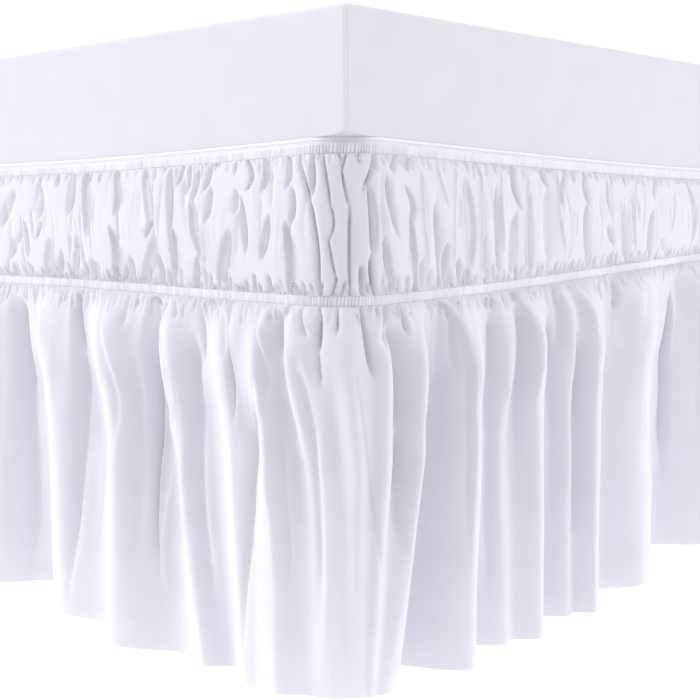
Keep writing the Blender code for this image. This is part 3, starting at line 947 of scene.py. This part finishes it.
def cotton(name, colour):
    """Brushed plain-weave cotton on the cut cloth's own UV map, in metres.

    A wave of Blender's repeats twenty times in 2 pi units of its scale.
    """
    material, tree, shader = new_material(
        name, colour, Roughness=0.92, Specular_IOR_Level=0.25, Sheen_Weight=0.25,
        Sheen_Roughness=0.6)
    place = add_node(tree, "UVMap", uv_map="cut_cloth").outputs["UV"]
    thread = {"Vector": place, "Scale": math.pi / (10 * WEAVE_PITCH), "Distortion": 0.6,
              "Detail": 1.0}
    warp, weft = (add_node(tree, "TexWave", thread, wave_type="BANDS",
                           bands_direction=direction).outputs["Fac"] for direction in "XY")
    weave = add_node(tree, "Math", {0: warp, 1: weft}, operation="ADD").outputs["Value"]
    fine = bump(tree, weave, 0.25, 0.00008)
    slub = noise(tree, place, 260.0, detail=4.0, roughness=0.6)
    tree.links.new(bump(tree, slub, 0.35, 0.0006, under=fine), shader.inputs["Normal"])
    tone = noise(tree, place, 28.0, detail=5.0)
    tint(tree, shader, tone, colour, 0.3, 0.7, 0.975, 1.012)
    return material


def knit_cover(name, colour):
    """Brushed knit of the mattress cover, on object coordinates."""
    material, tree, shader = new_material(
        name, colour, Roughness=0.88, Specular_IOR_Level=0.25, Sheen_Weight=0.2,
        Sheen_Roughness=0.6)
    place = add_node(tree, "TexCoord").outputs["Object"]
    nap = noise(tree, place, 420.0, detail=5.0)
    tree.links.new(bump(tree, nap, 0.3, 0.0005), shader.inputs["Normal"])
    tone = noise(tree, place, 16.0, detail=6.0, roughness=0.65)
    tint(tree, shader, tone, colour, 0.3, 0.7, 0.97, 1.01)
    return material


def pale_wood(name, colour, grain_axis):
    """Planed pale wood with long grain and a satin oil finish."""
    material, tree, shader = new_material(name, colour, Roughness=0.5)
    scale = [14.0, 14.0, 14.0]
    scale[grain_axis] = 0.9
    place = add_node(tree, "TexCoord").outputs["Object"]
    grain = add_node(tree, "Mapping", {"Vector": place, "Scale": scale}).outputs["Vector"]
    rings = noise(tree, grain, 2.0, detail=8.0, distortion=1.4)
    tint(tree, shader, rings, colour, 0.35, 0.68, 0.72, 1.12)
    fibres = noise(tree, grain, 30.0, detail=4.0)
    tree.links.new(bump(tree, fibres, 0.25, 0.0006), shader.inputs["Normal"])
    return material


# ---------------------------------------------------------------- settings

def colour_setting(name, description, default):
    """A colour that a user may change."""
    return bpy.props.FloatVectorProperty(name=name, description=description, subtype="COLOR",
                                         default=default, size=3, min=0, max=1)


def length_setting(name, description, default):
    """A length that a user may change."""
    return bpy.props.FloatProperty(name=name, description=description, default=default,
                                   unit="LENGTH")


def plain_setting(name, description, default, **limits):
    """A plain number that a user may change."""
    return bpy.props.FloatProperty(name=name, description=description, default=default,
                                   **limits)


class BedSkirtSizes(bpy.types.PropertyGroup):
    """Sizes of the cloth that a user may change."""
    ruffle_fullness: plain_setting(
        "Ruffle fullness", "Cloth gathered into each length of seam", 1.42, min=1.0, max=2.5)
    band_fullness: plain_setting(
        "Band fullness", "Cloth gathered into each length of the band", 1.50, min=1.0, max=2.5)
    casing_pitch: length_setting(
        "Casing pleat pitch", "Width of a pleat of the elastic casings", 0.0031)
    fine_column: length_setting(
        "Fine column", "Seam length of a column near the front corner", 0.0011)
    coarse_column: length_setting(
        "Coarse column", "Seam length of a column elsewhere", 0.0026)
    hem_depth: length_setting("Hem depth", "Depth of the turned hem", 0.012)


class BedSkirtColours(bpy.types.PropertyGroup):
    """Colours of the finishes."""
    cotton: colour_setting("Cotton", "Cloth of the ruffle", (0.67, 0.67, 0.735))
    # The band is the same cotton as the ruffle; its colour is set a shade lighter, painted light
    # that brightens it against the ruffle.
    band: colour_setting("Band", "Cloth of the gathered band", (0.68, 0.68, 0.747))
    # The casing colour is the cotton made lighter: painted light, which takes out the shade in the
    # pleats and lays a bright line along the cord.
    casing: colour_setting("Casing", "Cloth of the casings and the piping", (0.79, 0.79, 0.86))
    cover: colour_setting("Mattress cover", "Cloth of the mattress", (0.66, 0.66, 0.723))
    wood: colour_setting("Wood", "Platform and legs", (0.60, 0.47, 0.33))
    floor: colour_setting("Floor", "Floor of the stage", (0.12, 0.12, 0.12))


class BedSkirtStage(bpy.types.PropertyGroup):
    """Light of the stage."""
    sky: plain_setting("Sky", "Strength of the even light from all round", 1.22)
    key: plain_setting("Key light", "Strength of the soft light from the left", 1.30)
    fill: plain_setting("Fill light", "Strength of the soft light from the right", 0.44)
    glow: plain_setting("Floor glow", "Light that the floor gives itself", 1.36)


# ---------------------------------------------------------------- mattress cover

def cover_profile(grip_top):
    """The cover's rows upwards: height, inset, share of the width, and corner radius.

    The underside and the top close over their middles. The lower edge turns in as a
    parabola and the upper one as an arc, and above the skirt's grip the corners
    square up exponentially.
    """
    lower_top = MATTRESS_BOTTOM + LOWER_EDGE_HEIGHT
    edge_start = MATTRESS_TOP - MATTRESS_EDGE
    turn = np.radians(np.linspace(0, 90, 7))[1:]
    lower = np.linspace(0, 1, 6)[1:-1]
    sides = np.concatenate(([lower_top, 0.40, 0.46, 0.52],
                            grip_top + (edge_start - grip_top) * np.linspace(0, 1, 22) ** 2))
    height = np.concatenate(([MATTRESS_BOTTOM] * 3, MATTRESS_BOTTOM + LOWER_EDGE_HEIGHT * lower,
                             sides, edge_start + MATTRESS_EDGE * np.sin(turn),
                             [MATTRESS_TOP] * 4))
    inset = np.concatenate(([LOWER_EDGE] * 3, LOWER_EDGE * (1 - lower) ** 2,
                            np.zeros(len(sides)), MATTRESS_EDGE * (1 - np.cos(turn)),
                            [MATTRESS_EDGE] * 4))
    share = np.concatenate(((0.0, 0.6, 1.0), np.ones(len(height) - 7), (0.97, 0.8, 0.4, 0.0)))
    fade = np.exp(-np.maximum(0, height - grip_top) / CORNER_FADE)
    radius = np.where(height < grip_top, GRIP_RADIUS - inset,
                      TOP_CORNER + (GRIP_RADIUS - TOP_CORNER) * fade)
    return (values[:, None] for values in (height, inset, share, radius))


class BEDSKIRT_OT_mattress_cover(bpy.types.Operator):
    """Builds the mattress in its knit cover, over the mattress solid"""
    bl_idname = "bedskirt.mattress_cover"
    bl_label = "Mattress Cover"

    def execute(self, context):
        grip_top = UPPER_CASING_BOTTOM + UPPER_CASING_HEIGHT + PIPING_TOP
        height, inset, share, radius = cover_profile(grip_top)
        on_corner = np.linspace(-1, 1, 41) * HALF_ARC
        places = np.append(CORNERS[:, None] + on_corner, np.arange(0, ROUND, 0.02))
        columns = np.unique(np.round(np.mod(places, ROUND), 5))
        arc = from_corner(columns) * radius / GRIP_RADIUS
        ridge = SEAM_RIDGE * np.exp(-(arc / SEAM_RIDGE_WIDTH) ** 2) * (share == 1)
        x, y = rounded_outline(columns[None, :], radius, inset - ridge)
        points = np.stack((x * share, y * share, height + 0 * x), axis=-1)
        colours = context.scene.bed_skirt_colours
        cover = grid_object("mattress_cover", points[::-1], knit_cover(
            "mattress_cover", colours.cover), close_columns=True)
        weld(cover)
        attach(cover, "root")
        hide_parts("mattress")
        return {"FINISHED"}


# ---------------------------------------------------------------- cord and casings

class BEDSKIRT_OT_piping(bpy.types.Operator):
    """Builds the smooth corded edge on top of the upper casing"""
    bl_idname = "bedskirt.piping"
    bl_label = "Piping"

    def execute(self, context):
        colours = context.scene.bed_skirt_colours
        distance = cloth_columns(0.004, 0.008)[:-1]
        angle = np.radians(np.arange(60, -151, -30))
        centre = (UPPER_CASING_BOTTOM - upper_droop(distance) + UPPER_CASING_HEIGHT
                  + SEAT_GAP + PIPING_RADIUS)
        # From the top of its tape down over the lip and the cord, then back up behind
        tape_out = (0.0006, 0.0009, 0.0012, 0.0015, 0.0018, 0.0016, 0.0009)
        tape_rise = (0.0056, 0.0052, 0.0046, 0.0038, 0.0031, 0.0025, 0.0018)
        outward = np.concatenate((tape_out, PIPING_RADIUS * (1 + np.cos(angle)), (0.0, 0.0)))
        rise = np.concatenate((tape_rise, PIPING_RADIUS * np.sin(angle), (0.0010, 0.0056)))
        x, y = around_bed(distance, SEAT_GAP + outward[:, None] + 0 * distance)
        points = np.stack((x, y, centre + rise[:, None]), axis=-1)
        girth = PIPING_GIRTH_STEP * np.arange(len(rise))[:, None]
        flat = np.stack(np.broadcast_arrays(distance, girth), axis=-1)
        # The cord's cloth takes the lightened casing colour: a painted highlight along the cord.
        cord = grid_object("top_piping_cord", points, cotton("lightened_piping_cloth", colours.casing),
                           flat=flat, close_rows=True, close_columns=True)
        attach(cord, "root")
        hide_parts("top_piping")
        return {"FINISHED"}


def casing_ring(name, base, height, pitch, colour, seed, flange):
    """Elastic casing: a rounded face folded into fine pleats that lean a little.

    Across its height the face swells a little and turns in at its edges; each pleat
    is a rounded tube of the given pitch, deeper where the elastic is drawn
    tightest, at the corners. flange is how far its upper edge is carried up behind.
    """
    wander = np.random.default_rng(seed)
    near = uneven_places(FINE_START, FINE_END, pitch, 0.25, wander)
    far = uneven_places(FINE_END, FINE_START + ROUND, 1.8 * pitch, 0.25, wander)
    places = np.concatenate((near, far[1:]))
    number = np.arange(len(places))
    steps = np.arange(0, len(places) - 1, 0.25)
    distance = np.interp(steps, number, places)
    share = np.array((1.0, 1.0, 0.94, 0.75, 0.50, 0.25, 0.06, 0.0, 0.0))[:, None]
    swell = np.array((3.6, 4.2, 4.5, 4.7, 4.7, 4.7, 4.5, 4.2, 3.6))[:, None] / 1000
    folded = np.array((0.0, 0.6, 0.9, 1.0, 1.0, 1.0, 0.9, 0.6, 0.0))[:, None]
    edge = np.zeros_like(share)
    edge[0], edge[-1] = flange, 0.0006
    at_corner = np.exp(-(along_side(distance)[0] / TIGHT_REACH) ** 2)
    tight = SLACK_SHARE + (1 - SLACK_SHARE) * at_corner
    uneven = np.interp(steps, number, wander.uniform(0.5, 1.4, len(places)))
    pleat = np.abs(np.sin(math.pi * steps)) - 0.55
    out = np.maximum(swell + PLEAT_DEPTH * tight * uneven * pleat * folded, SEAT_GAP)
    up = base(distance) + height * share + edge
    x, y = around_bed(distance + PLEAT_LEAN * (share - 0.5), out)
    flat = np.stack(np.broadcast_arrays(distance * CASING_FULLNESS, -CASING_CUT * share),
                    axis=-1)
    piece = grid_object(name, np.stack((x, y, up), axis=-1), cotton(name, colour),
                        flat=flat, close_columns=True)
    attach(piece, "root")
    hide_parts(name.replace("_pleats", ""))


class BEDSKIRT_OT_casings(bpy.types.Operator):
    """Builds the two finely pleated elastic casings"""
    bl_idname = "bedskirt.casings"
    bl_label = "Casings"

    def execute(self, context):
        # The casings take the lightened casing colour, painted light that takes out the shade of
        # their pleats.
        colour = context.scene.bed_skirt_colours.casing
        pitch = context.scene.bed_skirt_sizes.casing_pitch
        casing_ring("upper_casing_pleats", lambda d: UPPER_CASING_BOTTOM - upper_droop(d),
                    UPPER_CASING_HEIGHT, pitch, colour, seed=21, flange=0.0012)
        casing_ring("lower_casing_pleats", lambda d: CASING_BOTTOM + lower_rise(d),
                    CASING_HEIGHT, pitch, colour, seed=22, flange=-0.0006)
        return {"FINISHED"}


# ---------------------------------------------------------------- ruffle and band

def split_panels(name, points, fall, material, slot, length, rests_on, node, fullness):
    """Cuts a ring of cloth into its panels, each an object with the cut cloth's UVs.

    points are rows of (along, out, up), and fall is each row's place down the cloth.
    """
    x, y = around_bed(points[0], points[1])
    space = np.stack((x, y, points[2]), axis=-1)
    normals = grid_normals(space)
    seam = points[0, 0]
    width = np.concatenate(([0.0], np.cumsum(seam_steps(points[:, 1]))))
    flat = np.stack(np.broadcast_arrays(width, fall[:, None]), axis=-1)
    edges = [0, *np.searchsorted(seam, PANEL_JOINTS).tolist(), len(seam) - 1]
    for number, (start, end) in enumerate(zip(edges, edges[1:]), start=1):
        part = slice(start, end + 1)
        piece = grid_object(f"{name}_{number}", space[:, part], material, flat=flat[:, part],
                            normals=normals[:, part])
        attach(piece, "root")
        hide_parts(node)


def turn_under(points, fall, at_top=True):
    """Carries a sheet's upper or lower seam row on behind its casing."""
    row = points[:, :1].copy() if at_top else points[:, -1:].copy()
    row[1] = SEAM_OUT
    row[2] += SEAM_TURN if at_top else -SEAM_TURN
    if at_top:
        return np.concatenate((row, points), axis=1), np.append(0, fall + SEAM_TURN)
    return np.concatenate((points, row), axis=1), np.append(fall, fall[-1] + SEAM_TURN)


def turned_hem(points, depth, hem_depth):
    """Adds the hem: the edge turns in under itself and comes back up behind."""
    number = np.arange(len(depth))
    rows = [points]
    for up, inward in ((0.0002, 0.0007), (0.30 * hem_depth, 0.0010), (hem_depth, 0.0010)):
        share = np.interp(depth[-1] - up, depth, number)
        low = int(min(number[-2], share))
        row = points[:, low] + (points[:, low + 1] - points[:, low]) * (share - low)
        row[1] -= inward
        rows.append(row[:, None])
    fall = depth[-1] + np.array((0.0008, 0.0008 + 0.3 * hem_depth, 0.0008 + hem_depth))
    return np.concatenate(rows, axis=1), np.append(depth, fall)


def ruffle_base(sizes):
    """The ruffle's main folds as rows of (along, out, up), and its rows' depths."""
    seam = cloth_columns(sizes.fine_column, sizes.coarse_column)
    fold = folds_at(seam)
    drop = CASING_BOTTOM - HEM_CLEARANCE
    depth = np.concatenate(((0, 0.0008), np.arange(0.0020, 0.024, 0.0022),
                            np.arange(0.024, 0.060, 0.0036), np.arange(0.060, 0.150, 0.0050),
                            np.linspace(0.150, drop, 25)))[:, None]
    rows = depth / drop
    above = np.clip(rows / MIDDLE, 0, 1)
    place = seam + (between_levels(rows, fold.middle, fold.hem) - seam) * above
    lift = HEM_LIFT * (fold.hem_out - RUFFLE_EDGE_OUT) ** 2 / (2 * drop)
    up = CASING_BOTTOM + lower_rise(seam) - (drop - lift) * rows

    reach = 1 - np.exp(-rows / CREST_REACH)
    tuck = smooth((rows - TUCK_START) / (MIDDLE - TUCK_START))
    offset = between_levels(rows, fold.middle_out, fold.hem_out) - RUFFLE_EDGE_OUT
    puff = RUFFLE_PUFF * np.sin(math.pi * np.clip(rows / PUFF_DEPTH, 0, 1))
    out = (RUFFLE_EDGE_OUT + puff + np.maximum(offset, 0) * reach
           + np.minimum(offset, 0) * tuck)
    return np.stack(np.broadcast_arrays(place, out, up)), depth


def build_ruffle(sizes):
    """The ruffle's sheet: main folds, creases and small gathers, and its rows' depths.

    The cloth stands off its seam in a soft head, and its wall falls away under the
    casing, so that a valley may go in under the mattress's edge.
    """
    wander = np.random.default_rng(11)
    base, depth = ruffle_base(sizes)
    creases = [crease._replace(left=max(RUFFLE_LEAST, crease.left),
                               right=max(RUFFLE_LEAST, crease.right))
               for crease in in_metres(RUFFLE_CREASES, Crease)]
    creases += strewn(wander, RUFFLE_STREWN_FAR, FAR_START, ROUND + FAR_END)
    creases += strewn(wander, RUFFLE_STREWN)
    shape = gathered_columns(base, crease_weight(base[0], depth, creases))
    shape[1] += HEAD_PUFF * (1 - np.exp(-depth / HEAD_RISE)) * np.exp(-depth / HEAD_FADE)
    along = upright(shape)
    press = (RUFFLE_STRENGTH * (creased(shape[0], depth, creases, drop=RUFFLE_DROP)
                                + creased(along, depth, strewn(wander, RUFFLE_TEETH)))
             + puckers(along, depth, 0.0036, 0.0040, wander))
    wall = WALL_OUT - WALL_FALL * smooth((depth - WALL_START) / WALL_REACH)
    return pressed(shape, press, wall, depth), depth[:, 0]


class BEDSKIRT_OT_ruffle(bpy.types.Operator):
    """Builds the deep ruffle in its panels"""
    bl_idname = "bedskirt.ruffle"
    bl_label = "Ruffle"

    def execute(self, context):
        sizes = context.scene.bed_skirt_sizes
        points, depth = build_ruffle(sizes)
        cloth = turn_under(*turned_hem(points, depth, sizes.hem_depth))
        split_panels("ruffle_panel", *cloth,
                     cotton("ruffle_cloth", context.scene.bed_skirt_colours.cotton),
                     "skirt_ruffle", length=float(depth[-1]) + sizes.hem_depth,
                     rests_on=["lower_casing"], node="ruffle",
                     fullness=sizes.ruffle_fullness)
        return {"FINISHED"}


def band_base(sizes):
    """The band's belly between its seams as rows of (along, out, up), and its depths."""
    seam = cloth_columns(1.05 * sizes.fine_column, 1.1 * sizes.coarse_column)
    edge = np.array((0, 0.0008, 0.0018, 0.0030, 0.0045, 0.0065, 0.0090)) / BAND_HEIGHT
    share = np.concatenate((edge, np.linspace(0.10, 0.90, 33), 1 - edge[::-1]))[:, None]
    bottom = CASING_BOTTOM + lower_rise(seam) + CASING_HEIGHT
    top = UPPER_CASING_BOTTOM - upper_droop(seam)
    up = top + (bottom - top) * share
    near = np.minimum(share, 1 - share) * BAND_HEIGHT
    belly = (BAND_PUFF_SHARE * (1 - np.exp(-near / BAND_PUFF_REACH))
             + (1 - BAND_PUFF_SHARE) * np.sin(math.pi * share) ** 0.75)
    out = RUFFLE_EDGE_OUT + BAND_BELLY * belly
    return np.stack(np.broadcast_arrays(seam, out, up)), share * BAND_HEIGHT


def build_band(sizes):
    """The band's sheet: belly, creases and gathers at both seams, and its rows' depths."""
    wander = np.random.default_rng(12)
    base, depth = band_base(sizes)
    foot = BAND_HEIGHT
    creases = [crease._replace(left=crease.left * BAND_WIDTH,
                               right=max(BAND_LEAST, crease.right * BAND_WIDTH))
               for crease in in_metres(BAND_CREASES, Crease)]
    creases += strewn(wander, BAND_STREWN_FAR, FAR_START, ROUND + FAR_END, foot=foot)
    creases += strewn(wander, BAND_STREWN)
    weight = crease_weight(base[0], depth, creases, foot=foot, drop=BAND_DROP)
    shape = gathered_columns(base, weight)
    along = upright(shape)
    teeth = strewn(wander, BAND_TEETH, foot=foot)
    press = (BAND_STRENGTH * (creased(shape[0], depth, creases, foot=foot, drop=BAND_DROP)
                              + creased(along, depth, teeth, foot=foot))
             + puckers(along, depth, 0.0034, 0.0040, wander)
             + puckers(along, foot - depth, 0.0050, 0.0048, wander))
    return pressed(shape, press, BAND_WALL, np.minimum(depth, foot - depth)), depth[:, 0]


class BEDSKIRT_OT_gathered_band(bpy.types.Operator):
    """Builds the gathered band between the casings"""
    bl_idname = "bedskirt.gathered_band"
    bl_label = "Gathered Band"

    def execute(self, context):
        sizes = context.scene.bed_skirt_sizes
        points, depth = build_band(sizes)
        cloth = turn_under(*turn_under(points, depth), at_top=False)
        split_panels("band_panel", *cloth,
                     # The band's cotton is the ruffle's, a shade lighter: painted light.
                     cotton("lightened_band_cloth", context.scene.bed_skirt_colours.band),
                     "skirt_band", length=float(depth[-1]),
                     rests_on=["upper_casing", "lower_casing"], node="gathered_band",
                     fullness=sizes.band_fullness)
        return {"FINISHED"}


# ---------------------------------------------------------------- base and stage

class BEDSKIRT_OT_bed_base(bpy.types.Operator):
    """Gives the platform and legs their wood"""
    bl_idname = "bedskirt.bed_base"
    bl_label = "Bed Base"

    def execute(self, context):
        wood = context.scene.bed_skirt_colours.wood
        deck_wood = pale_wood("platform_wood", wood, grain_axis=1)
        leg_wood = pale_wood("leg_wood", wood, grain_axis=2)
        for name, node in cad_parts.items():
            if name == "platform" or name.startswith("leg_"):
                node.data.materials.clear()
                node.data.materials.append(deck_wood if name == "platform" else leg_wood)
        return {"FINISHED"}


def toward(tree, place, direction):
    """How far a place lies in a direction from the origin."""
    return add_node(tree, "VectorMath", {0: place, 1: direction},
                    operation="DOT_PRODUCT").outputs["Value"]


def glow_to_front(tree, glow):
    """A floor glow kept to a broad strip under the near corner.

    Over the distance from the middle of the bed towards that corner it rises from
    0.55 at -0.6 m to 1 at 0.3 m, and falls to 0.5 between 1.1 and 1.6 m.
    """
    ahead = toward(tree, add_node(tree, "TexCoord").outputs["Object"], FRONT)
    ramps = [add_node(tree, "MapRange", {
        "Value": ahead, "From Min": start, "From Max": end, "To Min": before * glow,
        "To Max": after * glow}, interpolation_type="SMOOTHSTEP").outputs["Result"]
        for start, end, before, after in ((-0.6, 0.3, 0.55, 1.0), (1.1, 1.6, 1.0, 0.5))]
    return add_node(tree, "Math", dict(enumerate(ramps)), operation="MINIMUM").outputs["Value"]


def dim_front(world, strength):
    """White light from all round, dimmer from in front of the bed's foot.

    In a direction it is strength * (1 - HELD_BACK f^2), where f is the part of the
    direction that points there, or 0 where it points away.
    """
    tree = world.node_tree
    background = tree.nodes["Background"]
    background.inputs["Color"].default_value = (1, 1, 1, 1)
    level = toward(tree, add_node(tree, "TexCoord").outputs["Generated"], FRONT_OF_FOOT)
    for operation, value in (("MAXIMUM", 0.0), ("POWER", 2.0), ("MULTIPLY", -HELD_BACK * strength),
                             ("ADD", strength)):
        level = add_node(tree, "Math", {0: level, 1: value}, operation=operation).outputs["Value"]
    tree.links.new(level, background.inputs["Strength"])


def soft_sun(name, side, strength):
    """Wide soft light from far off, on the given side of the bed."""
    light = bpy.data.lights.new(name, "SUN")
    light.angle = math.radians(45)
    light.energy = strength
    lamp = bpy.data.objects.new(name, light)
    lamp.rotation_euler = Vector(side).to_track_quat("Z", "Y").to_euler()
    bpy.context.scene.collection.objects.link(lamp)


def add_camera():
    """Camera from its place, azimuth, downward pitch and roll."""
    azimuth, pitch, roll = map(math.radians, (CAMERA_AZIMUTH, CAMERA_PITCH, CAMERA_ROLL))
    forward = np.array((-math.sin(azimuth) * math.cos(pitch),
                        math.cos(azimuth) * math.cos(pitch), -math.sin(pitch)))
    level = np.array((math.cos(azimuth), math.sin(azimuth), 0))
    rise = np.cross(level, forward)
    right = math.cos(roll) * level + math.sin(roll) * rise
    up = -math.sin(roll) * level + math.cos(roll) * rise
    matrix = np.eye(4)
    matrix[:3] = np.stack((right, up, -forward, CAMERA_PLACE), axis=1)
    camera = bpy.data.objects.new("camera", bpy.data.cameras.new("camera"))
    camera.data.lens = CAMERA_LENS
    camera.data.sensor_width = 36.0
    camera.matrix_world = Matrix(matrix.tolist())
    bpy.context.scene.collection.objects.link(camera)
    bpy.context.scene.camera = camera


class BEDSKIRT_OT_stage(bpy.types.Operator):
    """Sets up the floor, which glows as painted light, the soft light and the camera"""
    bl_idname = "bedskirt.stage"
    bl_label = "Stage"

    def execute(self, context):
        scene = context.scene
        settings = scene.bed_skirt_stage
        # The floor's own colour is dark; its pale look is painted light, a glow strongest in a
        # strip under the near corner, which also lights the cloth from below.
        material, tree, shader = new_material("glowing_floor", scene.bed_skirt_colours.floor,
                                              Roughness=0.9, Specular_IOR_Level=0.1,
                                              Emission_Color=(1.0, 1.0, 1.0, 1.0))
        tree.links.new(glow_to_front(tree, settings.glow), shader.inputs["Emission Strength"])
        turn = np.linspace(0, 2 * math.pi, 64, endpoint=False)
        rim = FLOOR_RADIUS * np.stack((np.cos(turn), np.sin(turn), 0 * turn), axis=-1)
        mesh = bpy.data.meshes.new("floor")
        mesh.from_pydata(rim.tolist(), [], [tuple(range(len(rim)))])
        mesh.materials.append(material)
        floor = bpy.data.objects.new("floor", mesh)
        scene.collection.objects.link(floor)

        world = bpy.data.worlds.new("studio")
        world.use_nodes = True
        dim_front(world, settings.sky)
        scene.world = world
        soft_sun("key", (-0.68, -0.58, 0.42), settings.key)
        soft_sun("fill", (0.72, 0.50, 0.35), settings.fill)
        add_camera()
        scene.view_settings.view_transform = "Standard"
        return {"FINISHED"}


class BEDSKIRT_PT_panel(bpy.types.Panel):
    """Lists the pieces and their settings"""
    bl_label = "Bed Skirt"
    bl_idname = "BEDSKIRT_PT_panel"
    bl_space_type = "VIEW_3D"
    bl_region_type = "UI"
    bl_category = "Bed Skirt"

    def draw(self, context):
        for settings in (context.scene.bed_skirt_sizes, context.scene.bed_skirt_colours,
                         context.scene.bed_skirt_stage):
            for name in settings.bl_rna.properties.keys():
                if name not in ("rna_type", "name"):
                    self.layout.prop(settings, name)
        for operator in OPERATORS:
            self.layout.operator(operator.bl_idname)


OPERATORS = (BEDSKIRT_OT_stage, BEDSKIRT_OT_mattress_cover, BEDSKIRT_OT_piping,
             BEDSKIRT_OT_casings, BEDSKIRT_OT_gathered_band, BEDSKIRT_OT_ruffle,
             BEDSKIRT_OT_bed_base)
GROUPS = {"bed_skirt_sizes": BedSkirtSizes, "bed_skirt_colours": BedSkirtColours,
          "bed_skirt_stage": BedSkirtStage}


def register():
    """Registers the settings, the operators and the panel."""
    for name, group in GROUPS.items():
        bpy.utils.register_class(group)
        setattr(bpy.types.Scene, name, bpy.props.PointerProperty(type=group))
    for item in (*OPERATORS, BEDSKIRT_PT_panel):
        bpy.utils.register_class(item)


def unregister():
    """Takes them out again."""
    for item in (BEDSKIRT_PT_panel, *reversed(OPERATORS)):
        bpy.utils.unregister_class(item)
    for name, group in GROUPS.items():
        delattr(bpy.types.Scene, name)
        bpy.utils.unregister_class(group)


def main():
    """Builds every piece in order."""
    register()
    for operator in OPERATORS:
        group, name = operator.bl_idname.split(".")
        getattr(getattr(bpy.ops, group), name)()


if __name__ == "__main__":
    main()
